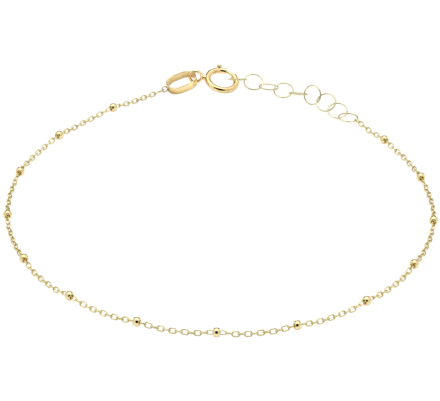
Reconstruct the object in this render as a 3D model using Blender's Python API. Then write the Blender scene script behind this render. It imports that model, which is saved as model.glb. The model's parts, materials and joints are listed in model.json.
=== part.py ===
"""Gold bead bracelet with an extender of round rings and a spring-ring clasp.

Units are metres, +Z is up, and the bracelet lies on the plane z = 0.
The wrist loop is open towards +Z, and the clasp and the extender lie at its +Y side.
"""

from math import asin, cos, pi, radians, sin, sqrt, tau

import bmesh
import bpy
from mathutils import Matrix, Vector

MM = 0.001

# Beads
BEAD_DIAMETER = 1.32 * MM
BEAD_COUNT = 14
BEAD_STEP = 10.97 * MM
BORE_CLEARANCE = 0.05 * MM
BEAD_SIDES = 14
BEAD_ARC_STEPS = 6

# Fine cable chain: a thin tube stands for its links
CHAIN_DIAMETER = 0.76 * MM
CHAIN_LEAD = 8.84 * MM
CHAIN_FLOOR_GAP = 0.02 * MM
CHAIN_SEGMENTS_PER_STEP = 5
CHAIN_LIFT_RUN = 3.3 * MM

# One link of the chain, as it shows at the chain's two ends
LINK_LENGTH = 1.22 * MM
LINK_WIDTH = 0.86 * MM
LINK_WIRE = 0.18 * MM
LINK_GAP = 0.04 * MM
LINK_BEND_STEPS = 8

# Extender rings
RING_OUTER = 3.15 * MM
RING_WIRE = 0.22 * MM
RING_SIDES = 16
RING_WIRE_SIDES = 6

# Spring-ring clasp: tube, mouth, thumb slot and eye
CLASP_OUTER = 5.45 * MM
CLASP_TUBE = 0.93 * MM
CLASP_WALL = 0.165 * MM
CLASP_SIDES = 16
CLASP_STEP_ANGLE = radians(9)
MOUTH_START = radians(36)
MOUTH_END = radians(74)
EYE_OUTER = 2.35 * MM
EYE_WIRE = 0.45 * MM
EYE_TWIST = radians(80)
EYE_SIDES = 16
NECK_LENGTH = 0.25 * MM
NECK_DIAMETER = 0.50 * MM
SOLDER_DEPTH = 0.11 * MM

# Sliding bolt and its thumb knob
BOLT_CLEARANCE = 0.08 * MM
BOLT_TIP_ANGLE = radians(28)
BOLT_TAIL_ANGLE = radians(108)
BOLT_SIDES = 10
BOLT_TRAVEL = radians(47)
KNOB_ANGLE = radians(103)
KNOB_TILT = radians(45)
KNOB_STEM = 0.26 * MM
KNOB_DIAMETER = 0.74 * MM
KNOB_THICKNESS = 0.42 * MM
KNOB_LIFT = 0.10 * MM
KNOB_SIDES = 12
SLOT_CLEARANCE = 0.04 * MM

# Oval link of flat strip, with the small loop soldered to its chain end
STRIP_LENGTH = 4.90 * MM
STRIP_WIDTH = 3.70 * MM
STRIP_HEIGHT = 1.20 * MM
STRIP_THICKNESS = 0.22 * MM
STRIP_EDGE = 0.04 * MM
STRIP_BEND_STEPS = 8
STRIP_SEAT_DROP = 0.07 * MM
LOOP_OUTER = 1.00 * MM
LOOP_WIRE = 0.17 * MM
LOOP_SIDES = 14
LOOP_SINK = 0.10 * MM

# How the pieces lie on the surface
CLASP_PLACE = (0.31 * MM, 30.95 * MM)
CLASP_LEAN = radians(14)
CLASP_LEAN_TOWARD = radians(-42)
STRIP_TURN = radians(18.6)
STRIP_ROLL = radians(1.4)
LOOP_TILT = radians(45)
FIRST_LINK_LIFT = radians(22)
LAST_LINK_HEADING = radians(-38)
LAST_LINK_ROLL = radians(40)

# Where the first extender ring hangs on the clasp's tube, in shares of the ring's own radius
FIRST_RING_REACH = (0.13, 0.20)

# Each row is one extender ring, from the clasp on. step is the distance from the ring before,
# as a share of the most that two rings can part. heading is that step's direction from +X.
# height is the centre's height as a share of the ring's radius. The ring's face leans from
# level by lean, towards the compass direction toward. Angles are in degrees.
EXTENDER_COLUMNS = ("step", "heading", "height", "lean", "toward")
EXTENDER_ROWS = (
    (0.000, 0, 0.64, 34, 87),
    (0.955, -17, 0.64, 22, -78),
    (0.960, -24, 0.48, 16, 75),
    (0.895, -22, 0.45, 17, -96),
    (0.955, -28, 0.55, 28, 83),
    (0.950, -33, 0.99, 64, -128),
    (0.965, -38, 0.77, 34, -112),
    (0.870, -42, 0.43, 17, -91),
    (0.820, -45, 0.26, 8, 67),
)

# The fine chain's route on the surface between its two ends, clockwise from the strip link
CHAIN_ROUTE = (
    (-20.7 * MM, 20.0 * MM),
    (-28.6 * MM, 8.7 * MM),
    (-30.3 * MM, -4.7 * MM),
    (-26.0 * MM, -17.1 * MM),
    (-17.1 * MM, -25.9 * MM),
    (-6.0 * MM, -30.6 * MM),
    (6.0 * MM, -30.9 * MM),
    (17.4 * MM, -26.3 * MM),
    (26.3 * MM, -17.2 * MM),
    (30.5 * MM, -4.8 * MM),
    (28.2 * MM, 8.5 * MM),
)
ROUTE_SAMPLES_PER_SPAN = 60

# Colours
PALE_GOLD = (0.86, 0.66, 0.33, 1.0)
TUBE_GOLD = (0.84, 0.61, 0.27, 1.0)
GOLD_ROUGHNESS = 0.18


def remove_all_objects():
    """Start from an empty scene."""
    for obj in list(bpy.data.objects):
        bpy.data.objects.remove(obj, do_unlink=True)


def gold(name, color):
    """A polished gold alloy."""
    material = bpy.data.materials.new(name)
    material.use_nodes = True
    shader = material.node_tree.nodes["Principled BSDF"]
    shader.inputs["Base Color"].default_value = color
    shader.inputs["Metallic"].default_value = 1.0
    shader.inputs["Roughness"].default_value = GOLD_ROUGHNESS
    return material


def add_empty(name, parent=None, matrix=None):
    """An empty that carries other pieces."""
    empty = bpy.data.objects.new(name, None)
    bpy.context.scene.collection.objects.link(empty)
    empty.parent = parent
    empty.matrix_local = matrix or Matrix.Identity(4)
    return empty


def add_object(name, data, material, parent, matrix=None):
    """Link a named object with its material under its parent."""
    obj = bpy.data.objects.new(name, data)
    bpy.context.scene.collection.objects.link(obj)
    if material:
        data.materials.append(material)
    obj.parent = parent
    obj.matrix_local = matrix or Matrix.Identity(4)
    return obj


def mesh_from(name, bm):
    """Turn a bmesh into a smooth-shaded mesh whose faces point out."""
    bmesh.ops.recalc_face_normals(bm, faces=bm.faces)
    mesh = bpy.data.meshes.new(name)
    bm.to_mesh(mesh)
    bm.free()
    mesh.shade_smooth()
    mesh.set_sharp_from_angle(angle=radians(40))
    return mesh


def hide_as_guide(obj):
    """Keep a cutter or a soldered-on shape out of the finished set."""
    obj.hide_render = True
    obj.display_type = "WIRE"
    return obj


def combine(obj, other, operation):
    """Cut or join another closed shape with this one."""
    boolean = obj.modifiers.new(other.name, "BOOLEAN")
    boolean.operation = operation
    boolean.solver = "EXACT"
    boolean.object = hide_as_guide(other)


def frame_matrix(center, x_axis, z_axis):
    """A placing matrix from a centre, an X direction and a Z direction."""
    z_axis = z_axis.normalized()
    x_axis = (x_axis - z_axis * x_axis.dot(z_axis)).normalized()
    y_axis = z_axis.cross(x_axis)
    rotation = Matrix((x_axis, y_axis, z_axis)).transposed()
    return Matrix.Translation(center) @ rotation.to_4x4()


def leaning_normal(lean, toward):
    """The normal of a level face after it leans by an angle towards a direction."""
    return Vector((sin(lean) * cos(toward), sin(lean) * sin(toward), cos(lean)))


def section_circle(bm, distance, radius, sides, angle=0.0):
    """A wire's round section, standing at a distance and an angle from the Z axis."""
    upright = Matrix.Rotation(pi / 2, 4, "X")
    place = Matrix.Rotation(angle, 4, "Z") @ Matrix.Translation((distance, 0, 0)) @ upright
    made = bmesh.ops.create_circle(bm, cap_ends=False, radius=radius, segments=sides, matrix=place)
    return made["verts"]


def edges_among(vertices):
    """The edges that join the given vertices to each other."""
    chosen = set(vertices)
    edges = {edge for vert in chosen for edge in vert.link_edges}
    return [edge for edge in edges if all(vert in chosen for vert in edge.verts)]


def full_torus(ring_radius, wire_radius, ring_sides, wire_sides):
    """A closed ring of round wire about the Z axis."""
    bm = bmesh.new()
    verts = section_circle(bm, ring_radius, wire_radius, wire_sides)
    bmesh.ops.spin(
        bm,
        geom=verts + edges_among(verts),
        cent=(0, 0, 0),
        axis=(0, 0, 1),
        angle=tau,
        steps=ring_sides,
        use_merge=True,
    )
    return bm


def round_ring(name, outer, wire, sides, wire_sides):
    """The mesh of a closed ring from its outer and wire diameters."""
    return mesh_from(name, full_torus((outer - wire) / 2, wire / 2, sides, wire_sides))


def sweep_faces(bm, faces, angle):
    """Sweep a section's faces about the Z axis into one closed solid."""
    verts = {vert for face in faces for vert in face.verts}
    edges = {edge for face in faces for edge in face.edges}
    bmesh.ops.spin(
        bm,
        geom=list(verts) + list(edges) + list(faces),
        cent=(0, 0, 0),
        axis=(0, 0, 1),
        angle=angle,
        steps=round(angle / CLASP_STEP_ANGLE),
    )


def hollow_arc(name, ring_radius, tube_radius, bore_radius, start, end, sides):
    """An open ring of round tube whose bore runs from one cut end to the other."""
    bm = bmesh.new()
    outer = section_circle(bm, ring_radius, tube_radius, sides, start)
    inner = section_circle(bm, ring_radius, bore_radius, sides, start)
    wall = bmesh.ops.bridge_loops(bm, edges=edges_among(outer) + edges_among(inner))["faces"]
    sweep_faces(bm, wall, end - start)
    return mesh_from(name, bm)


def solid_arc(name, ring_radius, wire_radius, start, end, sides):
    """A bent pin of round wire with flat ends."""
    bm = bmesh.new()
    verts = section_circle(bm, ring_radius, wire_radius, sides, start)
    sweep_faces(bm, [bm.faces.new(verts)], end - start)
    return mesh_from(name, bm)


def turned_shape(profile, sides):
    """A shape turned about the Z axis from a closed profile of (radius, height) pairs."""
    bm = bmesh.new()
    verts = [bm.verts.new((radius, 0, height)) for radius, height in profile]
    edges = [bm.edges.new((verts[i - 1], verts[i])) for i in range(len(verts))]
    bmesh.ops.spin(
        bm, geom=verts + edges, cent=(0, 0, 0), axis=(0, 0, 1), angle=tau, steps=sides, use_merge=True
    )
    return bm


def turned_solid(profile, sides):
    """A solid turned about the Z axis from an open profile that starts and ends on the axis."""
    bm = bmesh.new()
    verts = [bm.verts.new((radius, 0, height)) for radius, height in profile]
    edges = [bm.edges.new((verts[i], verts[i + 1])) for i in range(len(verts) - 1)]
    bmesh.ops.spin(
        bm, geom=verts + edges, cent=(0, 0, 0), axis=(0, 0, 1), angle=tau, steps=sides, use_merge=True
    )
    bmesh.ops.remove_doubles(bm, verts=bm.verts, dist=0.001 * MM)
    return bm


def bead_mesh():
    """A round bead drilled for the chain, with its bore along Z."""
    radius = BEAD_DIAMETER / 2
    bore = (CHAIN_DIAMETER / 2 + BORE_CLEARANCE) / cos(pi / BEAD_SIDES)
    mouth = asin(bore / radius)
    step = (pi - 2 * mouth) / BEAD_ARC_STEPS
    angles = [mouth + step * i for i in range(BEAD_ARC_STEPS + 1)]
    profile = [(radius * sin(a), radius * cos(a)) for a in angles]
    return mesh_from("bead", turned_shape(profile, BEAD_SIDES))


def smooth_route(points):
    """A smooth curve through the route's points, as closely spaced points."""
    ends = [points[0] * 2 - points[1]] + list(points) + [points[-1] * 2 - points[-2]]
    curve = []
    for before, start, end, after in zip(ends, ends[1:], ends[2:], ends[3:]):
        for i in range(ROUTE_SAMPLES_PER_SPAN):
            t = i / ROUTE_SAMPLES_PER_SPAN
            bend = (before * 2 - start * 5 + end * 4 - after) * t**2
            turn = (start * 3 - before - end * 3 + after) * t**3
            curve.append((start * 2 + (end - before) * t + bend + turn) / 2)
    curve.append(points[-1])
    return curve


def route_lengths(curve):
    """The distance along a curve of each of its points."""
    lengths = [0.0]
    for start, end in zip(curve, curve[1:]):
        lengths.append(lengths[-1] + (end - start).length)
    return lengths


def point_at(curve, lengths, distance):
    """The point at a distance along a curve."""
    last = len(curve) - 2
    i = min(last, max(0, sum(1 for length in lengths if length <= distance) - 1))
    share = (distance - lengths[i]) / (lengths[i + 1] - lengths[i])
    return curve[i].lerp(curve[i + 1], share)


def ease(share):
    """A smooth rise from 0 to 1."""
    share = min(1.0, max(0.0, share))
    return share * share * (3 - 2 * share)


def stadium(length, width, bend_steps):
    """An oval of two straight sides and two half circles, as (x, y) points."""
    radius = width / 2
    reach = (length - width) / 2
    right = [
        (reach + radius * cos(a), radius * sin(a))
        for a in (-pi / 2 + pi * i / bend_steps for i in range(bend_steps + 1))
    ]
    return right + [(-x, -y) for x, y in right]


def link_curve(name):
    """One oval link of the chain, long along X and level."""
    curve = bpy.data.curves.new(name, "CURVE")
    curve.dimensions = "3D"
    curve.bevel_depth = LINK_WIRE / 2
    curve.bevel_resolution = 1
    curve.render_resolution_u = 0
    outline = stadium(LINK_LENGTH - LINK_WIRE, LINK_WIDTH - LINK_WIRE, LINK_BEND_STEPS)
    spline = curve.splines.new("POLY")
    spline.points.add(len(outline) - 1)
    for point, (x, y) in zip(spline.points, outline):
        point.co = (x, y, 0, 1)
    spline.use_cyclic_u = True
    return curve


def hooked_link_matrix(ring_matrix, ring_radius, ring_wire, direction, lift=0.0, roll=0.0):
    """Where a chain link lies when it hooks a ring's wire: its pull, its lift and its roll."""
    normal = ring_matrix.col[2].to_3d().normalized()
    pull = (direction - normal * direction.dot(normal)).normalized()
    tangent = pull.cross(normal)
    along = Matrix.Rotation(lift, 3, tangent) @ pull
    reach = (LINK_LENGTH - LINK_WIRE) / 2 - (LINK_WIRE + ring_wire) / 2 - LINK_GAP
    center = ring_matrix.translation + pull * ring_radius + along * reach
    return frame_matrix(center, along, Matrix.Rotation(roll, 3, along) @ tangent)


def clasp_frame():
    """The clasp's centre and lean: local Z is the ring's axis, local X points at the extender."""
    ring_radius = (CLASP_OUTER - CLASP_TUBE) / 2
    height = ring_radius * sin(CLASP_LEAN) + CLASP_TUBE / 2
    normal = leaning_normal(CLASP_LEAN, CLASP_LEAN_TOWARD)
    return frame_matrix(Vector((*CLASP_PLACE, height)), Vector((1, 0, 0)), normal)


def add_clasp_ring(material, clasp):
    """The hollow tube ring with its mouth, its thumb slot and the eye soldered to its back."""
    ring_radius = (CLASP_OUTER - CLASP_TUBE) / 2
    tube_radius = CLASP_TUBE / 2
    bore_radius = tube_radius - CLASP_WALL
    mesh = hollow_arc(
        "clasp_ring", ring_radius, tube_radius, bore_radius, MOUTH_END, tau + MOUTH_START, CLASP_SIDES
    )
    ring = add_object("clasp_ring", mesh, material, clasp)
    combine(ring, add_slot_cutter(clasp, ring_radius, tube_radius), "DIFFERENCE")
    combine(ring, add_neck(clasp), "UNION")
    eye_mesh = round_ring("clasp_eye", EYE_OUTER, EYE_WIRE, EYE_SIDES, 8)
    combine(ring, add_object("clasp_eye", eye_mesh, None, clasp, eye_matrix()), "UNION")
    return ring


def eye_matrix():
    """The eye's place in the clasp's frame, behind the ring and twisted about its neck."""
    distance = CLASP_OUTER / 2 + NECK_LENGTH + EYE_OUTER / 2
    return Matrix.Translation((-distance, 0, 0)) @ Matrix.Rotation(EYE_TWIST, 4, "X")


def add_neck(clasp):
    """The short soldered neck between the ring's wall and the eye."""
    length = NECK_LENGTH + 2 * SOLDER_DEPTH
    bm = bmesh.new()
    bmesh.ops.create_cone(
        bm,
        cap_ends=True,
        segments=CLASP_SIDES,
        radius1=NECK_DIAMETER / 2,
        radius2=NECK_DIAMETER / 2,
        depth=length,
    )
    middle = -(CLASP_OUTER / 2 + NECK_LENGTH / 2)
    place = Matrix.Translation((middle, 0, 0)) @ Matrix.Rotation(pi / 2, 4, "Y")
    return add_object("clasp_neck", mesh_from("clasp_neck", bm), None, clasp, place)


def add_slot_cutter(clasp, ring_radius, tube_radius):
    """A curved bar that cuts the thumb slot through one side of the tube's wall."""
    half_width = KNOB_STEM / 2 + SLOT_CLEARANCE
    low = tube_radius / 3
    high = tube_radius * 1.5
    outward = Vector((cos(KNOB_TILT), 0, sin(KNOB_TILT)))
    across = Vector((-sin(KNOB_TILT), 0, cos(KNOB_TILT)))
    middle = Vector((ring_radius, 0, 0))
    corners = [(low, -half_width), (high, -half_width), (high, half_width), (low, half_width)]
    margin = half_width / ring_radius
    start = KNOB_ANGLE - margin
    end = KNOB_ANGLE + BOLT_TRAVEL + margin
    turn = Matrix.Rotation(start, 4, "Z")
    bm = bmesh.new()
    verts = [bm.verts.new(turn @ (middle + outward * out + across * side)) for out, side in corners]
    sweep_faces(bm, [bm.faces.new(verts)], end - start)
    return add_object("clasp_slot", mesh_from("clasp_slot", bm), None, clasp)


def knob_mesh():
    """The thumb knob: a thin stem under a rounded button, turned about Z."""
    foot = 0.0
    seat = CLASP_TUBE / 2 + KNOB_LIFT
    top = seat + KNOB_THICKNESS
    middle = seat + KNOB_THICKNESS / 2
    radius = KNOB_DIAMETER / 2
    profile = [
        (0, foot),
        (KNOB_STEM / 2, foot),
        (KNOB_STEM / 2, seat),
        (radius * 0.8, seat),
        (radius, middle),
        (radius * 0.75, top - KNOB_THICKNESS * 0.1),
        (0, top),
    ]
    return mesh_from("bolt_knob", turned_solid(profile, KNOB_SIDES))


def add_clasp_bolt(material, clasp):
    """The sliding bolt with its knob. It turns about the clasp's axis inside the tube."""
    ring_radius = (CLASP_OUTER - CLASP_TUBE) / 2
    wire_radius = CLASP_TUBE / 2 - CLASP_WALL - BOLT_CLEARANCE
    mesh = solid_arc(
        "clasp_bolt", ring_radius, wire_radius, BOLT_TIP_ANGLE, BOLT_TAIL_ANGLE, BOLT_SIDES
    )
    bolt = add_object("clasp_bolt", mesh, material, clasp)
    place = (
        Matrix.Rotation(KNOB_ANGLE, 4, "Z")
        @ Matrix.Translation((ring_radius, 0, 0))
        @ Matrix.Rotation(pi / 2 - KNOB_TILT, 4, "Y")
    )
    combine(bolt, add_object("bolt_knob", knob_mesh(), None, clasp, place), "UNION")
    return bolt


def strip_matrix(clasp_place):
    """The strip link's place: its far bend sits in the clasp's eye, its near end on the surface."""
    eye = (clasp_place @ eye_matrix()).translation
    seat = eye - Vector((0, 0, STRIP_SEAT_DROP))
    reach = STRIP_LENGTH - STRIP_THICKNESS
    pitch = asin((seat.z - STRIP_HEIGHT / 2) / reach)
    rotation = (
        Matrix.Rotation(STRIP_TURN, 4, "Z")
        @ Matrix.Rotation(-pitch, 4, "Y")
        @ Matrix.Rotation(STRIP_ROLL, 4, "X")
    )
    along = rotation @ Vector((reach / 2, 0, 0))
    return Matrix.Translation(seat - along) @ rotation


def loop_matrix(strip):
    """The small soldered loop's place at the strip link's near end."""
    reach = STRIP_LENGTH / 2 + LOOP_OUTER / 2 - LOOP_SINK
    return strip @ Matrix.Translation((-reach, 0, 0)) @ Matrix.Rotation(LOOP_TILT, 4, "X")


def add_strip_link(material, parent, matrix):
    """An oval band of flat strip standing on its edge, with the soldered loop."""
    bm = bmesh.new()
    inset = 2 * STRIP_THICKNESS
    rings = []
    for length, width in (
        (STRIP_LENGTH, STRIP_WIDTH),
        (STRIP_LENGTH - inset, STRIP_WIDTH - inset),
    ):
        outline = stadium(length, width, STRIP_BEND_STEPS)
        rings.append([bm.verts.new((x, y, -STRIP_HEIGHT / 2)) for x, y in outline])
    for verts in rings:
        for i in range(len(verts)):
            bm.edges.new((verts[i - 1], verts[i]))
    faces = bmesh.ops.bridge_loops(bm, edges=list(bm.edges))["faces"]
    raised = bmesh.ops.extrude_face_region(bm, geom=faces)
    top = [item for item in raised["geom"] if isinstance(item, bmesh.types.BMVert)]
    bmesh.ops.translate(bm, verts=top, vec=(0, 0, STRIP_HEIGHT))
    bmesh.ops.recalc_face_normals(bm, faces=bm.faces)
    rims = [
        edge
        for edge in bm.edges
        if edge.calc_face_angle(0) > radians(60)
        and abs(edge.verts[0].co.z - edge.verts[1].co.z) < STRIP_HEIGHT / 2
    ]
    bmesh.ops.bevel(
        bm,
        geom=rims,
        offset=STRIP_EDGE,
        segments=1,
        profile=0.5,
        affect="EDGES",
        material=-1,
    )
    link = add_object("strip_link", mesh_from("strip_link", bm), material, parent, matrix)
    loop = add_object(
        "strip_loop",
        round_ring("strip_loop", LOOP_OUTER, LOOP_WIRE, LOOP_SIDES, 6),
        None,
        parent,
        loop_matrix(matrix),
    )
    combine(link, loop, "UNION")
    return link


def extender_matrices(clasp_place):
    """Where each extender ring lies, worked out ring by ring from the clasp."""
    ring_radius = (RING_OUTER - RING_WIRE) / 2
    greatest_step = 2 * ring_radius - RING_WIRE
    tube_radius = (CLASP_OUTER - CLASP_TUBE) / 2
    tube = clasp_place @ Vector((tube_radius, 0, 0))
    matrices = []
    center = None
    for row in EXTENDER_ROWS:
        ring = dict(zip(EXTENDER_COLUMNS, row))
        height = ring_radius * ring["height"]
        if center is None:
            reach = [share * ring_radius for share in FIRST_RING_REACH]
            center = Vector((tube.x + reach[0], tube.y + reach[1], height))
        else:
            rise = height - center.z
            run = sqrt((greatest_step * ring["step"]) ** 2 - rise**2)
            heading = radians(ring["heading"])
            center = center + Vector((run * cos(heading), run * sin(heading), rise))
        normal = leaning_normal(radians(ring["lean"]), radians(ring["toward"]))
        matrices.append(frame_matrix(center, Vector((1, 0, 0)), normal))
    return matrices


def add_extender(material, parent, matrices):
    """The extender's interlocked rings, which share one mesh."""
    mesh = round_ring("extender_ring", RING_OUTER, RING_WIRE, RING_SIDES, RING_WIRE_SIDES)
    mesh.materials.append(material)
    for number, matrix in enumerate(matrices, start=1):
        add_object(f"extender_ring_{number}", mesh, None, parent, matrix)


def chain_height(distance, length, first_height, last_height):
    """The chain's height at a distance along it: it sags to the surface between beads."""
    rest = CHAIN_DIAMETER / 2 + CHAIN_FLOOR_GAP
    flat = BEAD_STEP / CHAIN_SEGMENTS_PER_STEP / 2
    lift = 0.0
    for number in range(BEAD_COUNT):
        away = abs(distance - CHAIN_LEAD - BEAD_STEP * number)
        lift = max(lift, 1 - ease((away - flat) / CHAIN_LIFT_RUN))
    from_first = 1 - ease(distance / CHAIN_LIFT_RUN)
    from_last = 1 - ease((length - distance) / CHAIN_LIFT_RUN)
    height = rest + (BEAD_DIAMETER / 2 - rest) * lift
    height += (first_height - rest) * from_first * (1 - lift)
    height += (last_height - rest) * from_last * (1 - lift)
    return height


def chain_points(first, last):
    """The chain's points between its two end links, so that each bead sits mid-segment."""
    ends = (first.to_2d(), last.to_2d())
    route = [ends[0]] + [Vector(point) for point in CHAIN_ROUTE] + [ends[1]]
    curve = smooth_route(route)
    lengths = route_lengths(curve)
    length = lengths[-1]
    segment = BEAD_STEP / CHAIN_SEGMENTS_PER_STEP
    start = LINK_LENGTH / 2 + LINK_GAP
    end = length - start
    places = []
    distance = CHAIN_LEAD + segment / 2
    while distance - segment > start + segment / 4:
        distance -= segment
    while distance < end - segment / 4:
        places.append(distance)
        distance += segment
    places = [start] + places + [end]
    points = []
    for place in places:
        spot = point_at(curve, lengths, place)
        height = chain_height(place, length, first.z, last.z)
        points.append(Vector((spot.x, spot.y, height)))
    return points, places


def add_chain(material, parent, points):
    """The fine chain as one thin tube through the beads."""
    curve = bpy.data.curves.new("chain", "CURVE")
    curve.dimensions = "3D"
    curve.bevel_depth = CHAIN_DIAMETER / 2
    curve.bevel_resolution = 2
    curve.render_resolution_u = 0
    curve.use_fill_caps = True
    spline = curve.splines.new("POLY")
    spline.points.add(len(points) - 1)
    for point, place in zip(spline.points, points):
        point.co = (*place, 1)
    return add_object("chain", curve, material, parent)


def add_beads(material, parent, points, places):
    """The beads, each on the middle of the chain segment that passes through it."""
    mesh = bead_mesh()
    mesh.materials.append(material)
    for number in range(BEAD_COUNT):
        distance = CHAIN_LEAD + BEAD_STEP * number
        i = sum(1 for place in places if place < distance)
        center = (points[i - 1] + points[i]) / 2
        along = points[i] - points[i - 1]
        matrix = frame_matrix(center, Vector((0, 0, 1)), along)
        add_object(f"bead_{number + 1:02d}", mesh, None, parent, matrix)


def add_end_links(material, parent, first, last):
    """The chain's first and last links, which hook the strip link and the last ring."""
    curve = link_curve("end_link")
    curve.materials.append(material)
    add_object("chain_first_link", curve, None, parent, first)
    add_object("chain_last_link", curve, None, parent, last)


def visible_bounds():
    """The lowest and highest corners of everything that is kept."""
    bpy.context.view_layer.update()
    graph = bpy.context.evaluated_depsgraph_get()
    corners = []
    for obj in bpy.data.objects:
        if obj.type == "EMPTY" or obj.hide_render:
            continue
        evaluated = obj.evaluated_get(graph)
        mesh = evaluated.to_mesh()
        corners += [evaluated.matrix_world @ vertex.co for vertex in mesh.vertices]
        evaluated.to_mesh_clear()
    low = Vector([min(corner[i] for corner in corners) for i in range(3)])
    high = Vector([max(corner[i] for corner in corners) for i in range(3)])
    return low, high


def main():
    """Build the bracelet and set its origin at the middle of its underside."""
    remove_all_objects()
    pale = gold("pale_gold", PALE_GOLD)
    tube = gold("tube_gold", TUBE_GOLD)
    root = add_empty("bracelet")
    clasp_place = clasp_frame()
    clasp = add_empty("clasp_axis", root, clasp_place)
    add_clasp_ring(tube, clasp)
    add_clasp_bolt(tube, clasp)
    strip = strip_matrix(clasp_place)
    add_strip_link(tube, root, strip)
    rings = extender_matrices(clasp_place)
    add_extender(pale, root, rings)
    loop = loop_matrix(strip)
    loop_radius = (LOOP_OUTER - LOOP_WIRE) / 2
    toward_chain = Vector((*CHAIN_ROUTE[0], 0)) - loop.translation
    first = hooked_link_matrix(loop, loop_radius, LOOP_WIRE, toward_chain, FIRST_LINK_LIFT)
    ring_radius = (RING_OUTER - RING_WIRE) / 2
    toward_bead = Vector((cos(LAST_LINK_HEADING), sin(LAST_LINK_HEADING), 0))
    last = hooked_link_matrix(
        rings[-1], ring_radius, RING_WIRE, toward_bead, roll=LAST_LINK_ROLL
    )
    add_end_links(pale, root, first, last)
    points, places = chain_points(first.translation, last.translation)
    add_chain(pale, root, points)
    add_beads(pale, root, points, places)
    low, high = visible_bounds()
    root.location = (-(low.x + high.x) / 2, -(low.y + high.y) / 2, -low.z)


main()
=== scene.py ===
"""How the gold bead bracelet looks: real links, round wire, polished gold, a white tent and the camera.

Units are metres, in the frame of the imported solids. Every piece keeps its place in its mesh.
"""

import json
import random
from math import acos, asin, cos, pi, radians, sin, tau

import bmesh
import bpy
import numpy as np
from mathutils import Matrix, Vector


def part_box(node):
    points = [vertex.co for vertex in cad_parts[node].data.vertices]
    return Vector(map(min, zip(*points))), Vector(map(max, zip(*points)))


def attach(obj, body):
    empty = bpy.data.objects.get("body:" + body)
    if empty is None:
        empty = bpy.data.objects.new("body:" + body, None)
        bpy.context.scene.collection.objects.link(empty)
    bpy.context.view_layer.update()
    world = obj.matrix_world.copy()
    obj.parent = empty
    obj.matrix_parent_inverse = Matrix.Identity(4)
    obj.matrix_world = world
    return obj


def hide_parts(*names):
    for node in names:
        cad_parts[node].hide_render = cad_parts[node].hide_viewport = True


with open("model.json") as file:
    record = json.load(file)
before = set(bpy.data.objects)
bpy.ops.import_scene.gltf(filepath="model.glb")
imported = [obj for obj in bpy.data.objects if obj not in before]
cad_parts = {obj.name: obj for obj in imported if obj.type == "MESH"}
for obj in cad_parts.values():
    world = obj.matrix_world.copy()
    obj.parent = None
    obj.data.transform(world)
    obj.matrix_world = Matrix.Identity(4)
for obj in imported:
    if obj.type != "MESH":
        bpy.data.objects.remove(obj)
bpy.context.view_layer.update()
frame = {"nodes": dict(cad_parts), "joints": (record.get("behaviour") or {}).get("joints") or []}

MM = 0.001
MERGE_DISTANCE = 0.0005 * MM
SHARP_ANGLE = radians(40)
CORNER_ANGLE = radians(60)
BODY = "bracelet"
BOLT_BODY = "bolt"
PALE_SLOT = "pale_gold"
TUBE_SLOT = "tube_gold"

# The clasp's axis, which the record's joint states, ties the route below to the solids
HINGE = frame["joints"][0]
HINGE_PLACE = Vector(HINGE["pos_m"])
HINGE_AXIS = Vector(HINGE["axis"])
CLASP_PLACE_ON_ROUTE = Vector((0.31 * MM, 30.95 * MM, 0.0))
ROUTE_SHIFT = Vector((HINGE_PLACE.x, HINGE_PLACE.y, 0.0)) - CLASP_PLACE_ON_ROUTE

# The camera, measured in the route's own frame
CAMERA_PLACE = Vector((0.0, -265.8 * MM, 187.8 * MM))
CAMERA_TILT = radians(54.76)
CAMERA_LENS = 184.34
CAMERA_REACH = (0.01, 20.0)

# Beads
BEAD_COUNT = 14
BEAD_STEP = 10.97 * MM
BEAD_RADIUS = 0.66 * MM
BEAD_BORE = 0.34 * MM
BEAD_BORE_LIP = 0.045 * MM
BEAD_LIP_SHARES = (0.3, 0.25)
BEAD_HALF_WIDTH = 0.45 * MM
BEAD_CROWN = 0.74 * MM
BEAD_SHOULDER = 0.09 * MM
BEAD_SIDES = 40
BEAD_CROWN_STEPS = 12
BEAD_SHOULDER_STEPS = 5

# The chain's oval links
LINK_LENGTH = 1.25 * MM
LINK_WIDTH = 0.86 * MM
LINK_WIRE = 0.20 * MM
END_LINK_LENGTH = 1.22 * MM
END_LINK_WIRE = 0.18 * MM
LINK_COLUMNS = 12
LINK_WIRE_SIDES = 6
LINK_SHARP_ANGLE = radians(75)
LINK_ROLL = radians(45)
LINK_ROLL_PLAY = radians(7)
LINK_REST_HEIGHT = 0.35 * MM
LINK_WANDER = 0.035 * MM
ROLL_SEED = 3
WANDER_SEED = 7
LINK_SHARE_IN_BEAD = 0.76
LINKS_PER_STEP = 13
LINKS_IN_LEAD = 11
LINKS_IN_TAIL = 7
CHAIN_LEAD = 8.84 * MM
CHAIN_LIFT_RUN = 2.9 * MM

# Extender rings
RING_COUNT = 9
RING_OUTER = 3.15 * MM
RING_WIRE = 0.22 * MM
RING_COLUMNS = 60
RING_WIRE_SIDES = 14
SOLDER_SWELL = 1.10
SOLDER_HALF_ANGLE = radians(5)
SEAM_SEED = 11

# Clasp
CLASP_OUTER = 5.45 * MM
CLASP_TUBE = 0.93 * MM
CLASP_WALL = 0.165 * MM
CLASP_SIDES = 32
CLASP_STEP_ANGLE = radians(3)
CLASP_LIP = 0.045 * MM
MOUTH_START = radians(36)
MOUTH_END = radians(74)
EYE_OUTER = 2.35 * MM
EYE_WIRE = 0.45 * MM
EYE_COLUMNS = 48
EYE_WIRE_SIDES = 20
EYE_TWIST = radians(80)
NECK_LENGTH = 0.25 * MM
NECK_EYE_END = 0.70 * MM
NECK_RING_END = 0.90 * MM
NECK_STEPS = 6
SOLDER_DEPTH = 0.11 * MM

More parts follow.
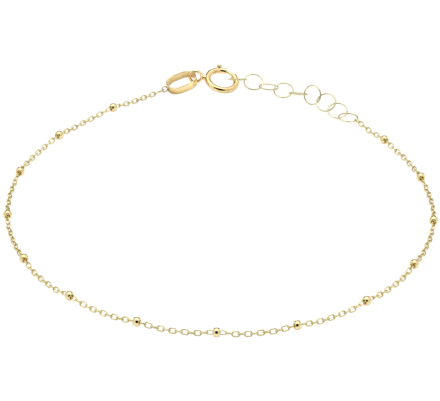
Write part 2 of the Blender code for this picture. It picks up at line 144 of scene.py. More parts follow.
# Bolt and knob
BOLT_CLEARANCE = 0.08 * MM
BOLT_ROUNDING_SHARE = 0.35
BOLT_TIP_ANGLE = radians(28)
BOLT_TAIL_ANGLE = radians(108)
BOLT_TRAVEL = radians(47)
KNOB_ANGLE = radians(100.5)
KNOB_TILT = radians(45)
KNOB_STEM = 0.26 * MM
KNOB_DIAMETER = 0.84 * MM
KNOB_THICKNESS = 0.42 * MM
KNOB_LIFT = 0.02 * MM
KNOB_SIDES = 28
SLOT_CLEARANCE = 0.04 * MM
SLOT_FLOOR_SHARE = 1 / 3
SLOT_TOP_SHARE = 1.5

# The knob's button, as shares of its radius and of its thickness
KNOB_BUTTON = (
    (0.50, 0.0),
    (0.80, 0.08),
    (0.97, 0.24),
    (1.0, 0.45),
    (0.95, 0.68),
    (0.80, 0.87),
    (0.52, 0.97),
    (0.0, 1.0),
)

# Strip link and its soldered loop
STRIP_LENGTH = 4.90 * MM
STRIP_WIDTH = 3.70 * MM
STRIP_HEIGHT = 1.20 * MM
STRIP_THICKNESS = 0.22 * MM
STRIP_EDGE = 0.08 * MM
STRIP_COLUMNS = 44
STRIP_SEAT_DROP = 0.07 * MM
STRIP_TURN = radians(18.6)
STRIP_ROLL = radians(1.4)
LOOP_OUTER = 1.00 * MM
LOOP_WIRE = 0.17 * MM
LOOP_COLUMNS = 32
LOOP_WIRE_SIDES = 12
LOOP_SINK = 0.10 * MM
LOOP_TILT = radians(45)

# The fine chain's route between its two end links, anticlockwise from the strip link as
# seen from above
CHAIN_ROUTE = (
    (-20.7 * MM, 20.0 * MM),
    (-28.6 * MM, 8.7 * MM),
    (-30.3 * MM, -4.7 * MM),
    (-26.0 * MM, -17.1 * MM),
    (-17.1 * MM, -25.9 * MM),
    (-6.0 * MM, -30.6 * MM),
    (6.0 * MM, -30.9 * MM),
    (17.4 * MM, -26.3 * MM),
    (26.3 * MM, -17.2 * MM),
    (30.5 * MM, -4.8 * MM),
    (28.2 * MM, 8.5 * MM),
)
ROUTE_SAMPLES_PER_SPAN = 60

# Gold tones, linear. Each deep tone is the alloy's random mottling and also painted shade in hollows
CHAIN_TONE = (0.79, 0.71, 0.36, 1.0)
CHAIN_DEEP_AND_SHADE = (0.68, 0.50, 0.12, 1.0)
BEAD_TONE = (0.82, 0.72, 0.41, 1.0)
# The beads' deep tone is painted orange bounce light in their bores
BEAD_DEEP_AND_BOUNCE = (1.0, 0.62, 0.14, 1.0)
RING_TONE = (0.82, 0.76, 0.48, 1.0)
RING_DEEP_AND_SHADE = (0.40, 0.33, 0.14, 1.0)
CLASP_TONE = (0.96, 0.78, 0.42, 1.0)
CLASP_DEEP_AND_SHADE = (0.50, 0.26, 0.04, 1.0)
STRIP_TONE = (1.0, 0.85, 0.48, 1.0)
STRIP_DEEP_AND_SHADE = (0.46, 0.25, 0.015, 1.0)
HAIRLINES_PER_METRE = 60000.0
HAIRLINE_STRETCH = (1.0, 0.12, 0.4)

# The white tent. Each patch has its azimuth and elevation, the half angles of its core and
# its edge, all in degrees, and its light
TENT_COLUMNS = ("azimuth", "elevation", "core", "edge", "light")
TENT_PATCHES = (
    (0, 30, 25, 45, 0.75),
    (0, -90, 94, 99, 0.25),
    (-21, 8, 7, 12, 0.10),
    (21, 8, 7, 12, 0.10),
    (-23, 25, 7, 12, 0.10),
    (23, 25, 7, 12, 0.10),
    (0, 78, 18, 40, 1.8),
    (180, 38, 30, 34, 0.0),
)
TENT_LIGHT = 0.95
TENT_LIGHT_SEEN = 1.1
TENT_SHADE = (1.0, 0.62, 0.30, 1.0)
WHITE = (1.0, 1.0, 1.0, 1.0)

# The floor, whose tone and glow differ between the gold's reflections and the camera
FLOOR_HALF_SIZE = 3.0
FLOOR_TONE_MIRRORED = 0.85
FLOOR_TONE_SEEN = 0.10
FLOOR_GLOW_MIRRORED = 0.30
FLOOR_GLOW_SEEN = 0.95


# Shaping tools


def place(bm, matrix):
    """Move everything in a bmesh by a matrix."""
    bmesh.ops.transform(bm, matrix=matrix, verts=bm.verts)
    return bm


def object_from(name, bm, sharp_angle=SHARP_ANGLE):
    """A smooth-shaded object at the origin from a bmesh."""
    bmesh.ops.remove_doubles(bm, verts=bm.verts, dist=MERGE_DISTANCE)
    bmesh.ops.recalc_face_normals(bm, faces=bm.faces)
    mesh = bpy.data.meshes.new(name)
    bm.to_mesh(mesh)
    bm.free()
    mesh.shade_smooth()
    mesh.set_sharp_from_angle(angle=sharp_angle)
    obj = bpy.data.objects.new(name, mesh)
    bpy.context.scene.collection.objects.link(obj)
    return obj


def solder(obj, others, operation="UNION"):
    """Join or cut closed shapes with this one for good, and drop the spare shapes."""
    for other in others:
        boolean = obj.modifiers.new(other.name, "BOOLEAN")
        boolean.operation = operation
        boolean.solver = "EXACT"
        boolean.object = other
    graph = bpy.context.evaluated_depsgraph_get()
    mesh = bpy.data.meshes.new_from_object(obj.evaluated_get(graph))
    obj.modifiers.clear()
    obj.data = mesh
    mesh.shade_smooth()
    mesh.set_sharp_from_angle(angle=SHARP_ANGLE)
    for other in others:
        bpy.data.objects.remove(other, do_unlink=True)
    return obj


def dress(obj, material, body, slot, *nodes):
    """Give a piece its finish and its body, and hide the solids it stands for."""
    obj.data.materials.clear()
    obj.data.materials.append(material)
    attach(obj, body)
    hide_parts(*nodes)


def frame_matrix(center, x_axis, z_axis):
    """A placing matrix from a centre, an X direction and a Z direction."""
    z_axis = z_axis.normalized()
    x_axis = (x_axis - z_axis * x_axis.dot(z_axis)).normalized()
    rotation = Matrix((x_axis, z_axis.cross(x_axis), z_axis)).transposed()
    return Matrix.Translation(center) @ rotation.to_4x4()


def frame_of_solid(node):
    """A flat solid's place: local X along its greatest spread and local Z along its least."""
    points = np.array([vertex.co for vertex in frame["nodes"][node].data.vertices])
    middle = points.mean(axis=0)
    directions = np.linalg.eigh(np.cov((points - middle).T))[1]
    return frame_matrix(Vector(middle), Vector(directions[:, 2]), Vector(directions[:, 0]))


def section_circle(bm, distance, radius, sides, angle=0.0):
    """A wire's round section, standing at a distance from the Z axis and an angle about it."""
    upright = Matrix.Rotation(pi / 2, 4, "X")
    at = Matrix.Rotation(angle, 4, "Z") @ Matrix.Translation((distance, 0, 0)) @ upright
    return bmesh.ops.create_circle(bm, radius=radius, segments=sides, matrix=at)["verts"]


def edges_among(vertices):
    """The edges that join the given vertices to each other, in the same order each run."""
    edges = dict.fromkeys(edge for vert in vertices for edge in vert.link_edges)
    return [edge for edge in edges if all(vert in vertices for vert in edge.verts)]


def spin(bm, geom, angle, steps, whole=False):
    """Spin geometry about the Z axis."""
    bmesh.ops.spin(
        bm,
        geom=geom,
        cent=(0, 0, 0),
        axis=(0, 0, 1),
        angle=angle,
        steps=steps,
        use_merge=whole,
    )


def wire_ring(outer, wire, columns, sides):
    """A closed ring of round wire about the Z axis."""
    bm = bmesh.new()
    half_column = pi / columns
    verts = section_circle(bm, (outer - wire) / 2, wire / 2, sides, half_column)
    spin(bm, verts + edges_among(verts), tau, columns, whole=True)
    return bm


def pull_apart(bm, distance):
    """Pull a ring's two halves apart along X, which leaves an oval with straight sides."""
    for side in (-1, 1):
        half = [vert for vert in bm.verts if vert.co.x * side > 0]
        bmesh.ops.translate(bm, verts=half, vec=(side * distance / 2, 0, 0))
    return bm


def swell_joint(bm, ring_radius, angle):
    """Swell the wire a little where a ring's two ends were soldered shut."""
    for vert in bm.verts:
        around = Vector((vert.co.x, vert.co.y, 0)).normalized()
        away = acos(max(-1, min(1, around.dot(Vector((cos(angle), sin(angle), 0))))))
        if away < SOLDER_HALF_ANGLE:
            middle = around * ring_radius
            vert.co = middle + (vert.co - middle) * SOLDER_SWELL
    return bm


def turned_solid(profile, sides):
    """A solid turned about the Z axis from a profile of (radius, height) pairs."""
    bm = bmesh.new()
    verts = [bm.verts.new((radius, 0, height)) for radius, height in profile]
    edges = [bm.edges.new(pair) for pair in zip(verts, verts[1:])]
    spin(bm, verts + edges, tau, sides, whole=True)
    bmesh.ops.remove_doubles(bm, verts=bm.verts, dist=MERGE_DISTANCE)
    return bm


def soften(bm, edges, offset, segments=3):
    """Round off edges."""
    bmesh.ops.bevel(
        bm,
        geom=edges,
        offset=offset,
        segments=segments,
        profile=0.5,
        affect="EDGES",
        material=-1,
    )
    return bm


def corner_edges(bm):
    """The edges at which faces meet in a corner."""
    bmesh.ops.recalc_face_normals(bm, faces=bm.faces)
    return [edge for edge in bm.edges if edge.calc_face_angle(0) > CORNER_ANGLE]


# The chain's route


def smooth_route(points):
    """A smooth curve through the route's points, as closely spaced points."""
    ends = [points[0] * 2 - points[1]] + list(points) + [points[-1] * 2 - points[-2]]
    curve = []
    for before, start, end, after in zip(ends, ends[1:], ends[2:], ends[3:]):
        for i in range(ROUTE_SAMPLES_PER_SPAN):
            t = i / ROUTE_SAMPLES_PER_SPAN
            bend = (before * 2 - start * 5 + end * 4 - after) * t**2
            turn = (start * 3 - before - end * 3 + after) * t**3
            curve.append((start * 2 + (end - before) * t + bend + turn) / 2)
    curve.append(points[-1])
    return curve


def route_lengths(curve):
    """The distance along a curve of each of its points."""
    lengths = [0.0]
    for start, end in zip(curve, curve[1:]):
        lengths.append(lengths[-1] + (end - start).length)
    return lengths


def point_at(curve, lengths, distance):
    """The point at a distance along a curve."""
    last = len(curve) - 2
    i = min(last, max(0, sum(1 for length in lengths if length <= distance) - 1))
    share = (distance - lengths[i]) / (lengths[i + 1] - lengths[i])
    return curve[i].lerp(curve[i + 1], share)


def ease(share):
    """A smooth rise from 0 to 1."""
    share = min(1.0, max(0.0, share))
    return share * share * (3 - 2 * share)


def link_distances(length):
    """The distance along the route of each link's centre, from the first to the last."""
    first_part = [CHAIN_LEAD * i / LINKS_IN_LEAD for i in range(LINKS_IN_LEAD)]
    strung = LINKS_PER_STEP * (BEAD_COUNT - 1)
    middle = [CHAIN_LEAD + BEAD_STEP * i / LINKS_PER_STEP for i in range(strung)]
    last_bead = CHAIN_LEAD + BEAD_STEP * (BEAD_COUNT - 1)
    tail = length - last_bead
    last_part = [last_bead + tail * i / LINKS_IN_TAIL for i in range(LINKS_IN_TAIL + 1)]
    return first_part + middle + last_part


def bead_lift(distance):
    """How far the chain is lifted towards a bore at a distance along it, from 0 to 1."""
    away = min(abs(distance - CHAIN_LEAD - BEAD_STEP * number) for number in range(BEAD_COUNT))
    return 1 - ease((away - BEAD_RADIUS / 2) / CHAIN_LIFT_RUN)


def link_centers():
    """Where each link's centre lies: on the surface between beads, at the bore in a bead."""
    ends = [sum(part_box(node), Vector()) / 2 for node in ("chain_first_link", "chain_last_link")]
    points = [Vector((*point, 0)) + ROUTE_SHIFT for point in CHAIN_ROUTE]
    flat_ends = [Vector((end.x, end.y, 0)) for end in ends]
    curve = smooth_route([flat_ends[0]] + points + [flat_ends[1]])
    lengths = route_lengths(curve)
    wander = random.Random(WANDER_SEED)
    centers = []
    for distance in link_distances(lengths[-1]):
        lift = bead_lift(distance)
        center = point_at(curve, lengths, distance)
        height = LINK_REST_HEIGHT + (BEAD_RADIUS - LINK_REST_HEIGHT) * lift
        for end, away in ((ends[0], distance), (ends[1], lengths[-1] - distance)):
            pull = (1 - ease(away / CHAIN_LIFT_RUN)) * (1 - lift)
            height += (end.z - LINK_REST_HEIGHT) * pull
        loose = 1 - lift
        center.x += wander.uniform(-1, 1) * LINK_WANDER * loose
        center.y += wander.uniform(-1, 1) * LINK_WANDER * loose
        center.z = height
        centers.append(center)
    return centers


# Pieces


def oval_link(length, wire):
    """One oval link of round wire, long along X."""
    bm = wire_ring(LINK_WIDTH, wire, LINK_COLUMNS, LINK_WIRE_SIDES)
    return pull_apart(bm, length - LINK_WIDTH)


def link_matrix(centers, i, turn):
    """A link's place and turn on the chain, and its narrower form in and beside a bead."""
    along = (centers[i + 1] - centers[i - 1]).normalized()
    upright = Vector((0, 0, 1)) - along * along.z
    roll = Matrix.Rotation(turn, 4, along)
    past_bead = (i - LINKS_IN_LEAD) % LINKS_PER_STEP
    at_bead = past_bead in (0, 1, LINKS_PER_STEP - 1)
    narrow = Matrix.Diagonal((1, LINK_SHARE_IN_BEAD if at_bead else 1, 1, 1))
    return frame_matrix(centers[i], along, roll @ upright) @ narrow


def make_chain(material, centers):
    """The fine cable chain: each link turned a right angle from the one before."""
    pattern = bpy.data.meshes.new("link_pattern")
    link = oval_link(LINK_LENGTH, LINK_WIRE)
    link.to_mesh(pattern)
    link.free()
    play = random.Random(ROLL_SEED)
    bm = bmesh.new()
    for i in range(1, len(centers) - 1):
        side = LINK_ROLL if (i - LINKS_IN_LEAD) % 2 == 0 else -LINK_ROLL
        turn = side + play.uniform(-1, 1) * LINK_ROLL_PLAY
        count = len(bm.verts)
        bm.from_mesh(pattern)
        bm.verts.ensure_lookup_table()
        matrix = link_matrix(centers, i, turn)
        bmesh.ops.transform(bm, matrix=matrix, verts=bm.verts[count:])
    bpy.data.meshes.remove(pattern)
    chain = object_from("fine_chain", bm, LINK_SHARP_ANGLE)
    dress(chain, material, BODY, PALE_SLOT, "chain")


def make_end_links(material):
    """The two links that hook the strip link's loop and the extender's last ring."""
    for node in ("chain_first_link", "chain_last_link"):
        bm = place(oval_link(END_LINK_LENGTH, END_LINK_WIRE), frame_of_solid(node))
        wire = object_from(node + "_wire", bm, LINK_SHARP_ANGLE)
        dress(wire, material, BODY, PALE_SLOT, node)


def bead_profile():
    """A drilled bead's closed outline: its full crown, its shoulders and its bore."""
    height = BEAD_HALF_WIDTH - BEAD_SHOULDER
    swing = BEAD_CROWN - BEAD_SHOULDER
    edge = asin(height / swing)
    crown_middle = BEAD_RADIUS - BEAD_CROWN
    shoulder_middle = crown_middle + swing * cos(edge)
    lip_out, lip_drop = BEAD_LIP_SHARES
    upper = [
        (BEAD_BORE, BEAD_HALF_WIDTH - BEAD_BORE_LIP),
        (BEAD_BORE + BEAD_BORE_LIP * lip_out, BEAD_HALF_WIDTH - BEAD_BORE_LIP * lip_drop),
    ]
    for i in range(BEAD_SHOULDER_STEPS):
        a = pi / 2 - (pi / 2 - edge) * i / BEAD_SHOULDER_STEPS
        upper.append((shoulder_middle + BEAD_SHOULDER * cos(a), height + BEAD_SHOULDER * sin(a)))
    crown = []
    for i in range(BEAD_CROWN_STEPS + 1):
        a = edge - 2 * edge * i / BEAD_CROWN_STEPS
        crown.append((crown_middle + BEAD_CROWN * cos(a), BEAD_CROWN * sin(a)))
    lower = [(radius, -up) for radius, up in reversed(upper)]
    return upper + crown + lower + [(BEAD_BORE, 0.0)]


def make_beads(material, centers):
    """Round drilled beads, each with its bore along the chain."""
    profile = bead_profile()
    for number in range(BEAD_COUNT):
        node = f"bead_{number + 1:02d}"
        low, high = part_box(node)
        i = LINKS_IN_LEAD + LINKS_PER_STEP * number
        along = centers[i + 1] - centers[i - 1]
        bm = turned_solid(profile + profile[:1], BEAD_SIDES)
        place(bm, frame_matrix((low + high) / 2, Vector((0, 0, 1)), along))
        dress(object_from(f"round_{node}", bm), material, BODY, PALE_SLOT, node)


def make_extender(material):
    """The extender's round jump rings, each soldered shut."""
    seam = random.Random(SEAM_SEED)
    for number in range(1, RING_COUNT + 1):
        node = f"extender_ring_{number}"
        bm = wire_ring(RING_OUTER, RING_WIRE, RING_COLUMNS, RING_WIRE_SIDES)
        swell_joint(bm, (RING_OUTER - RING_WIRE) / 2, seam.uniform(0, tau))
        place(bm, frame_of_solid(node))
        dress(object_from(f"jump_ring_{number}", bm), material, BODY, PALE_SLOT, node)


def clasp_matrix():
    """The clasp's place: local Z is the ring's axis, local X points at the extender."""
    return frame_matrix(HINGE_PLACE, Vector((1, 0, 0)), HINGE_AXIS)


def eye_matrix():
    """The eye's place in the clasp's frame, behind the ring and twisted about its neck."""
    distance = CLASP_OUTER / 2 + NECK_LENGTH + EYE_OUTER / 2
    return Matrix.Translation((-distance, 0, 0)) @ Matrix.Rotation(EYE_TWIST, 4, "X")


def swept_tube(ring_radius, outer, inner, start, end):
    """An open ring of round tube, or of solid wire where inner is 0."""
    bm = bmesh.new()
    verts = section_circle(bm, ring_radius, outer, CLASP_SIDES, start)
    if inner:
        bore = section_circle(bm, ring_radius, inner, CLASP_SIDES, start)
        edges = edges_among(verts) + edges_among(bore)
        faces = bmesh.ops.bridge_loops(bm, edges=edges)["faces"]
    else:
        faces = [bm.faces.new(verts)]
    verts = dict.fromkeys(vert for face in faces for vert in face.verts)
    edges = dict.fromkeys(edge for face in faces for edge in face.edges)
    geom = list(verts) + list(edges) + list(faces)
    spin(bm, geom, end - start, round((end - start) / CLASP_STEP_ANGLE))
    return bm


def neck_solid():
    """The soldered neck, which widens towards the ring."""
    reach = NECK_LENGTH / 2 + SOLDER_DEPTH
    narrow = NECK_EYE_END / 2
    wide = NECK_RING_END / 2
    profile = [(0, -reach)]
    for i in range(NECK_STEPS + 1):
        share = i / NECK_STEPS
        profile.append((narrow + (wide - narrow) * share**2, reach * (2 * share - 1)))
    return turned_solid(profile + [(0, reach)], CLASP_SIDES)


def slot_solid(ring_radius, tube_radius):
    """The curved bar that cuts the thumb slot."""
    half_width = KNOB_STEM / 2 + SLOT_CLEARANCE
    outward = Vector((cos(KNOB_TILT), 0, sin(KNOB_TILT)))
    across = Vector((-sin(KNOB_TILT), 0, cos(KNOB_TILT)))
    middle = Vector((ring_radius, 0, 0))
    low = tube_radius * SLOT_FLOOR_SHARE
    high = tube_radius * SLOT_TOP_SHARE
    corners = [(low, -half_width), (high, -half_width), (high, half_width), (low, half_width)]
    margin = half_width / ring_radius
    start = KNOB_ANGLE - margin
    angle = BOLT_TRAVEL + 2 * margin
    turn = Matrix.Rotation(start, 4, "Z")
    bm = bmesh.new()
    verts = [bm.verts.new(turn @ (middle + outward * out + across * side)) for out, side in corners]
    face = bm.faces.new(verts)
    spin(bm, verts + list(face.edges) + [face], angle, round(angle / CLASP_STEP_ANGLE))
    return bm


def make_clasp_ring(material):
    """The tube ring with rolled lips at its mouth, its thumb slot, neck and eye."""
    ring_radius = (CLASP_OUTER - CLASP_TUBE) / 2
    tube_radius = CLASP_TUBE / 2
    bore = tube_radius - CLASP_WALL
    clasp = clasp_matrix()
    bm = swept_tube(ring_radius, tube_radius, bore, MOUTH_END, tau + MOUTH_START)
    soften(bm, corner_edges(bm), CLASP_LIP)
    ring = object_from("spring_ring", place(bm, clasp))
    slot = object_from("thumb_slot", place(slot_solid(ring_radius, tube_radius), clasp))
    solder(ring, [slot], "DIFFERENCE")
    middle = -(CLASP_OUTER / 2 + NECK_LENGTH / 2)
    neck_place = clasp @ Matrix.Translation((middle, 0, 0)) @ Matrix.Rotation(pi / 2, 4, "Y")
    neck = object_from("clasp_neck", place(neck_solid(), neck_place))
    eye_ring = wire_ring(EYE_OUTER, EYE_WIRE, EYE_COLUMNS, EYE_WIRE_SIDES)
    eye = object_from("clasp_eye", place(eye_ring, clasp @ eye_matrix()))
    solder(ring, [neck, eye])
    dress(ring, material, BODY, TUBE_SLOT, "clasp_ring")


def knob_solid():
    """The thumb knob: a thin stem under a rounded button."""
    seat = CLASP_TUBE / 2 + KNOB_LIFT
    radius = KNOB_DIAMETER / 2
    stem = KNOB_STEM / 2
    profile = [(0, 0), (stem, 0), (stem, seat)]
    profile += [(radius * share, seat + KNOB_THICKNESS * rise) for share, rise in KNOB_BUTTON]
    return turned_solid(profile, KNOB_SIDES)


def make_bolt(material):
    """The sliding bolt of bent wire with its knob."""
    ring_radius = (CLASP_OUTER - CLASP_TUBE) / 2
    wire_radius = CLASP_TUBE / 2 - CLASP_WALL - BOLT_CLEARANCE
    clasp = clasp_matrix()
    bm = swept_tube(ring_radius, wire_radius, 0, BOLT_TIP_ANGLE, BOLT_TAIL_ANGLE)
    soften(bm, corner_edges(bm), wire_radius * BOLT_ROUNDING_SHARE)
    bolt = object_from("sliding_bolt", place(bm, clasp))
    at = (
        clasp
        @ Matrix.Rotation(KNOB_ANGLE, 4, "Z")
        @ Matrix.Translation((ring_radius, 0, 0))
        @ Matrix.Rotation(pi / 2 - KNOB_TILT, 4, "Y")
    )
    knob = object_from("bolt_knob", place(knob_solid(), at))
    solder(bolt, [knob])
    dress(bolt, material, BOLT_BODY, TUBE_SLOT, "clasp_bolt")


def strip_matrix():
    """The strip link's place: its far bend sits in the eye, its near end on the surface."""
    eye = (clasp_matrix() @ eye_matrix()).translation
    seat = eye - Vector((0, 0, STRIP_SEAT_DROP))
    reach = STRIP_LENGTH - STRIP_THICKNESS
    ring_radius = (CLASP_OUTER - CLASP_TUBE) / 2
    lean = acos(HINGE_AXIS.z)
    floor_gap = HINGE_PLACE.z - ring_radius * sin(lean) - CLASP_TUBE / 2
    pitch = asin((seat.z - floor_gap - STRIP_HEIGHT / 2) / reach)
    rotation = (
        Matrix.Rotation(STRIP_TURN, 4, "Z")
        @ Matrix.Rotation(-pitch, 4, "Y")
        @ Matrix.Rotation(STRIP_ROLL, 4, "X")
    )
    along = rotation @ Vector((reach / 2, 0, 0))
    return Matrix.Translation(seat - along) @ rotation


def make_strip_link(material):
    """The oval band of flat strip standing on its edge, with its soldered loop."""
    matrix = strip_matrix()
    bm = bmesh.new()
    outer = STRIP_WIDTH / 2
    half = STRIP_HEIGHT / 2
    corners = [(outer, -half), (outer, half), (outer - STRIP_THICKNESS, half)]
    corners.append((outer - STRIP_THICKNESS, -half))
    turn = Matrix.Rotation(pi / STRIP_COLUMNS, 4, "Z")
    verts = [bm.verts.new(turn @ Vector((x, 0, z))) for x, z in corners]
    edges = [bm.edges.new((verts[i - 1], verts[i])) for i in range(4)]
    spin(bm, verts + edges, tau, STRIP_COLUMNS, whole=True)
    pull_apart(bm, STRIP_LENGTH - STRIP_WIDTH)
    soften(bm, corner_edges(bm), STRIP_EDGE)
    band = object_from("strip_band", place(bm, matrix))
    reach = STRIP_LENGTH / 2 + LOOP_OUTER / 2 - LOOP_SINK
    loop_place = matrix @ Matrix.Translation((-reach, 0, 0)) @ Matrix.Rotation(LOOP_TILT, 4, "X")
    loop_ring = wire_ring(LOOP_OUTER, LOOP_WIRE, LOOP_COLUMNS, LOOP_WIRE_SIDES)
    loop = object_from("strip_loop", place(loop_ring, loop_place))
    solder(band, [loop])
    dress(band, material, BODY, TUBE_SLOT, "strip_link")


# Materials


def add_node(tree, kind, inputs=None, **settings):
    """A shader node with its settings and the values of its inputs."""
    node = tree.nodes.new(kind)
    for name, value in settings.items():
        setattr(node, name, value)
    for name, value in (inputs or {}).items():
        node.inputs[name].default_value = value
    return node


def add_socket(group, way, kind, name):
    """One named input or output of a shader group."""
    group.interface.new_socket(name=name, in_out=way, socket_type=f"NodeSocket{kind}")


def build_alloy_tone_and_shade():
    """Gold that varies a little from place to place, with painted shade: ambient occlusion mixes in the
    deep tone in hollows, between parts and near the floor.
    """
    group = bpy.data.node_groups.new("alloy_tone_and_shade", "ShaderNodeTree")
    add_socket(group, "INPUT", "Vector", "Place")
    add_socket(group, "INPUT", "Color", "Tone")
    add_socket(group, "INPUT", "Color", "Deep Tone and Painted Shade")
    add_socket(group, "INPUT", "Float", "Patches per metre")
    add_socket(group, "INPUT", "Float", "Patch Strength")
    add_socket(group, "INPUT", "Float", "Painted Shade Reach")
    add_socket(group, "OUTPUT", "Color", "Color")
    links = group.links
    given = add_node(group, "NodeGroupInput")
    result = add_node(group, "NodeGroupOutput")
    patches = add_node(group, "ShaderNodeTexNoise", {"Detail": 3.0})
    links.new(given.outputs["Place"], patches.inputs["Vector"])
    links.new(given.outputs["Patches per metre"], patches.inputs["Scale"])
    spread = add_node(group, "ShaderNodeMapRange", {"From Min": 0.42, "From Max": 0.68})
    links.new(patches.outputs["Fac"], spread.inputs["Value"])
    links.new(given.outputs["Patch Strength"], spread.inputs["To Max"])
    # Painted shade: ambient occlusion pulls the colour towards the deep tone where surfaces are close
    painted_shade = add_node(group, "ShaderNodeAmbientOcclusion", samples=16)
    links.new(given.outputs["Painted Shade Reach"], painted_shade.inputs["Distance"])
    shade_range = {"From Min": 0.92, "From Max": 0.30, "To Max": 0.9}
    shade_share = add_node(group, "ShaderNodeMapRange", shade_range)
    links.new(painted_shade.outputs["AO"], shade_share.inputs["Value"])
    mottle_and_shade = add_node(group, "ShaderNodeMath", operation="MAXIMUM")
    links.new(spread.outputs["Result"], mottle_and_shade.inputs[0])
    links.new(shade_share.outputs["Result"], mottle_and_shade.inputs[1])
    mix = add_node(group, "ShaderNodeMix", data_type="RGBA")
    links.new(mottle_and_shade.outputs["Value"], mix.inputs["Factor"])
    links.new(given.outputs["Tone"], mix.inputs["A"])
    links.new(given.outputs["Deep Tone and Painted Shade"], mix.inputs["B"])
    links.new(mix.outputs["Result"], result.inputs["Color"])


def build_polish_marks():
    """The fine waves that polishing leaves, and a roughness that follows its hairlines."""
    group = bpy.data.node_groups.new("polish_marks", "ShaderNodeTree")
    add_socket(group, "INPUT", "Vector", "Place")
    add_socket(group, "INPUT", "Float", "Waves per metre")
    add_socket(group, "INPUT", "Float", "Smoothest")
    add_socket(group, "INPUT", "Float", "Roughest")
    add_socket(group, "OUTPUT", "Float", "Roughness")
    add_socket(group, "OUTPUT", "Float", "Height")
    links = group.links
    given = add_node(group, "NodeGroupInput")
    result = add_node(group, "NodeGroupOutput")
    waves = add_node(group, "ShaderNodeTexNoise", {"Detail": 2.0})
    links.new(given.outputs["Place"], waves.inputs["Vector"])
    links.new(given.outputs["Waves per metre"], waves.inputs["Scale"])
    stretch = add_node(group, "ShaderNodeVectorMath", {1: HAIRLINE_STRETCH}, operation="MULTIPLY")
    links.new(given.outputs["Place"], stretch.inputs[0])
    hairline_look = {"Scale": HAIRLINES_PER_METRE, "Detail": 2.0}
    hairlines = add_node(group, "ShaderNodeTexNoise", hairline_look)
    links.new(stretch.outputs["Vector"], hairlines.inputs["Vector"])
    rough = add_node(group, "ShaderNodeMapRange", {"From Min": 0.3, "From Max": 0.7})
    links.new(hairlines.outputs["Fac"], rough.inputs["Value"])
    links.new(given.outputs["Smoothest"], rough.inputs["To Min"])
    links.new(given.outputs["Roughest"], rough.inputs["To Max"])
    links.new(rough.outputs["Result"], result.inputs["Roughness"])
    links.new(waves.outputs["Fac"], result.inputs["Height"])


def gold_finish(name, tone_values, mark_values, bump):
    """Polished gold with its own tones, mottling, painted shade in hollows and polishing marks."""
    material = bpy.data.materials.new(name)
    material.use_nodes = True
    tree = material.node_tree
    links = tree.links
    groups = bpy.data.node_groups
    shader = tree.nodes["Principled BSDF"]
    shader.inputs["Metallic"].default_value = 1.0
    where = add_node(tree, "ShaderNodeTexCoord")
    color = add_node(tree, "ShaderNodeGroup", tone_values, node_tree=groups["alloy_tone_and_shade"])
    marks = add_node(tree, "ShaderNodeGroup", mark_values, node_tree=groups["polish_marks"])
    relief = add_node(tree, "ShaderNodeBump", {"Strength": 1.0, "Distance": bump})
    links.new(where.outputs["Object"], color.inputs["Place"])
    links.new(where.outputs["Object"], marks.inputs["Place"])
    links.new(color.outputs["Color"], shader.inputs["Base Color"])
    links.new(marks.outputs["Roughness"], shader.inputs["Roughness"])
    links.new(marks.outputs["Height"], relief.inputs["Height"])
    links.new(relief.outputs["Normal"], shader.inputs["Normal"])
    return material


def chain_gold():
    """The chain's pale gold, softly bright."""
    tone = {
        "Tone": CHAIN_TONE,
        "Deep Tone and Painted Shade": CHAIN_DEEP_AND_SHADE,
        "Patches per metre": 700,
        "Patch Strength": 0.35,
        # Painted shade: within this reach, where links cross and run inside the beads, the gold turns
        # to its deeper orange tone
        "Painted Shade Reach": 0.25 * MM,
    }
    marks = {"Waves per metre": 6000, "Smoothest": 0.18, "Roughest": 0.30}
    return gold_finish("chain_gold", tone, marks, 0.004 * MM)


def bead_gold():
    """The beads' mirror-bright gold."""
    tone = {
        "Tone": BEAD_TONE,
        "Deep Tone and Painted Shade": BEAD_DEEP_AND_BOUNCE,
        "Patches per metre": 900,
        "Patch Strength": 0.25,
        # Painted bounce light: within this reach, in the bores and round the chain, the gold turns
        # bright orange
        "Painted Shade Reach": 0.60 * MM,
    }
    marks = {"Waves per metre": 1500, "Smoothest": 0.02, "Roughest": 0.05}
    return gold_finish("bead_gold", tone, marks, 0.004 * MM)


def ring_gold():
    """The extender rings' pale drawn wire."""
    tone = {
        "Tone": RING_TONE,
        "Deep Tone and Painted Shade": RING_DEEP_AND_SHADE,
        "Patches per metre": 500,
        "Patch Strength": 0.55,
        # Painted shade: within this reach, where rings and links come close, the wire turns darker
        "Painted Shade Reach": 0.20 * MM,
    }
    marks = {"Waves per metre": 2500, "Smoothest": 0.10, "Roughest": 0.24}
    return gold_finish("ring_gold", tone, marks, 0.008 * MM)


def clasp_gold():
    """The clasp's deeper, highly polished gold."""
    tone = {
        "Tone": CLASP_TONE,
        "Deep Tone and Painted Shade": CLASP_DEEP_AND_SHADE,
        "Patches per metre": 600,
        "Patch Strength": 0.45,
        # Painted shade: within this reach, in hollows and where parts are close, the gold turns deep
        # brown
        "Painted Shade Reach": 0.60 * MM,
    }
    marks = {"Waves per metre": 900, "Smoothest": 0.02, "Roughest": 0.06}
    return gold_finish("clasp_gold", tone, marks, 0.025 * MM)


def strip_gold():
    """The strip link's gold, a little wavy from bending, with painted shade that darkens it inside the
    band and towards the floor.
    """
    tone = {
        "Tone": STRIP_TONE,
        "Deep Tone and Painted Shade": STRIP_DEEP_AND_SHADE,
        "Patches per metre": 300,
        "Patch Strength": 0.30,
        # Painted shade: this long reach darkens the band's inner faces and its lower edge near the
        # floor
        "Painted Shade Reach": 2.8 * MM,
    }
    marks = {"Waves per metre": 400, "Smoothest": 0.03, "Roughest": 0.08}
    return gold_finish("strip_gold", tone, marks, 0.050 * MM)


# Surroundings


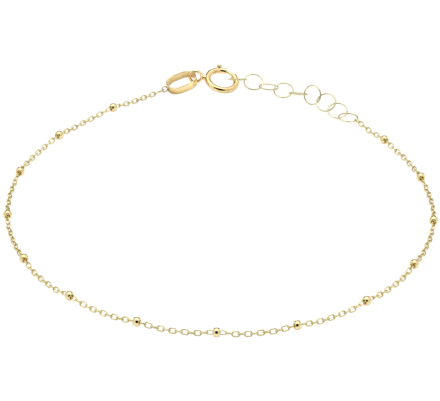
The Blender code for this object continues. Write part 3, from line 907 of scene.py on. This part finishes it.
def lay_floor():
    """A wide white floor that glows a little, so that only faint shadows show."""
    bm = bmesh.new()
    bmesh.ops.create_grid(bm, x_segments=1, y_segments=1, size=FLOOR_HALF_SIZE)
    floor = object_from("floor", bm)
    material = bpy.data.materials.new("white_floor")
    material.use_nodes = True
    tree = material.node_tree
    shader = tree.nodes["Principled BSDF"]
    shader.inputs["Roughness"].default_value = 0.9
    shader.inputs["Specular IOR Level"].default_value = 0.0
    shader.inputs["Emission Color"].default_value = WHITE
    seen = add_node(tree, "ShaderNodeLightPath")
    for socket, mirrored, direct in (
        ("Base Color", FLOOR_TONE_MIRRORED, FLOOR_TONE_SEEN),
        ("Emission Strength", FLOOR_GLOW_MIRRORED, FLOOR_GLOW_SEEN),
    ):
        mix = add_node(tree, "ShaderNodeMix", {"A": mirrored, "B": direct})
        tree.links.new(seen.outputs["Is Camera Ray"], mix.inputs["Factor"])
        tree.links.new(mix.outputs["Result"], shader.inputs[socket])
    floor.data.materials.append(material)


def patch_mask(tree, direction, edge, core):
    """1 inside a round patch of the tent around a direction, fading to 0 at its edge."""
    where = add_node(tree, "ShaderNodeTexCoord")
    facing = add_node(tree, "ShaderNodeVectorMath", {1: direction}, operation="DOT_PRODUCT")
    tree.links.new(where.outputs["Generated"], facing.inputs[0])
    limits = {"From Min": cos(edge), "From Max": cos(core)}
    fade = add_node(tree, "ShaderNodeMapRange", limits, interpolation_type="SMOOTHSTEP")
    tree.links.new(facing.outputs["Value"], fade.inputs["Value"])
    return fade.outputs["Result"]


def direction_of(azimuth, elevation):
    """A unit direction. Azimuth 0 is +Y and 90 is +X, in degrees."""
    a = radians(azimuth)
    e = radians(elevation)
    return (sin(a) * cos(e), cos(a) * cos(e), sin(e))


def hang_tent():
    """The white tent: even light with a few brighter and darker patches."""
    world = bpy.data.worlds.new("white_tent")
    bpy.context.scene.world = world
    world.use_nodes = True
    tree = world.node_tree
    light = None
    for row in TENT_PATCHES:
        patch = dict(zip(TENT_COLUMNS, row))
        direction = direction_of(patch["azimuth"], patch["elevation"])
        mask = patch_mask(tree, direction, radians(patch["edge"]), radians(patch["core"]))
        mix = add_node(tree, "ShaderNodeMix", {"A": TENT_LIGHT, "B": patch["light"]})
        tree.links.new(mask, mix.inputs["Factor"])
        if light is not None:
            tree.links.new(light, mix.inputs["A"])
        light = mix.outputs["Result"]
    seen = add_node(tree, "ShaderNodeLightPath")
    mix = add_node(tree, "ShaderNodeMix", {"B": TENT_LIGHT_SEEN})
    tree.links.new(seen.outputs["Is Camera Ray"], mix.inputs["Factor"])
    tree.links.new(light, mix.inputs["A"])
    background = tree.nodes["Background"]
    tree.links.new(mix.outputs["Result"], background.inputs["Strength"])
    tint = add_node(tree, "ShaderNodeMix", {"A": TENT_SHADE, "B": WHITE}, data_type="RGBA")
    tree.links.new(mix.outputs["Result"], tint.inputs["Factor"])
    tree.links.new(tint.outputs["Result"], background.inputs["Color"])


def set_camera():
    """The photo's camera."""
    data = bpy.data.cameras.new("camera")
    data.lens = CAMERA_LENS
    data.clip_start, data.clip_end = CAMERA_REACH
    camera = bpy.data.objects.new("camera", data)
    camera.location = CAMERA_PLACE + ROUTE_SHIFT
    camera.rotation_euler = (CAMERA_TILT, 0, 0)
    bpy.context.scene.collection.objects.link(camera)
    bpy.context.scene.camera = camera


set_camera()
lay_floor()
hang_tent()
bpy.context.scene.view_settings.view_transform = "Standard"

build_alloy_tone_and_shade()
build_polish_marks()
link_places = link_centers()
pale_wire = chain_gold()
make_chain(pale_wire, link_places)
make_end_links(pale_wire)
make_beads(bead_gold(), link_places)
make_extender(ring_gold())
polished_tube = clasp_gold()
make_clasp_ring(polished_tube)
make_bolt(polished_tube)
make_strip_link(strip_gold())
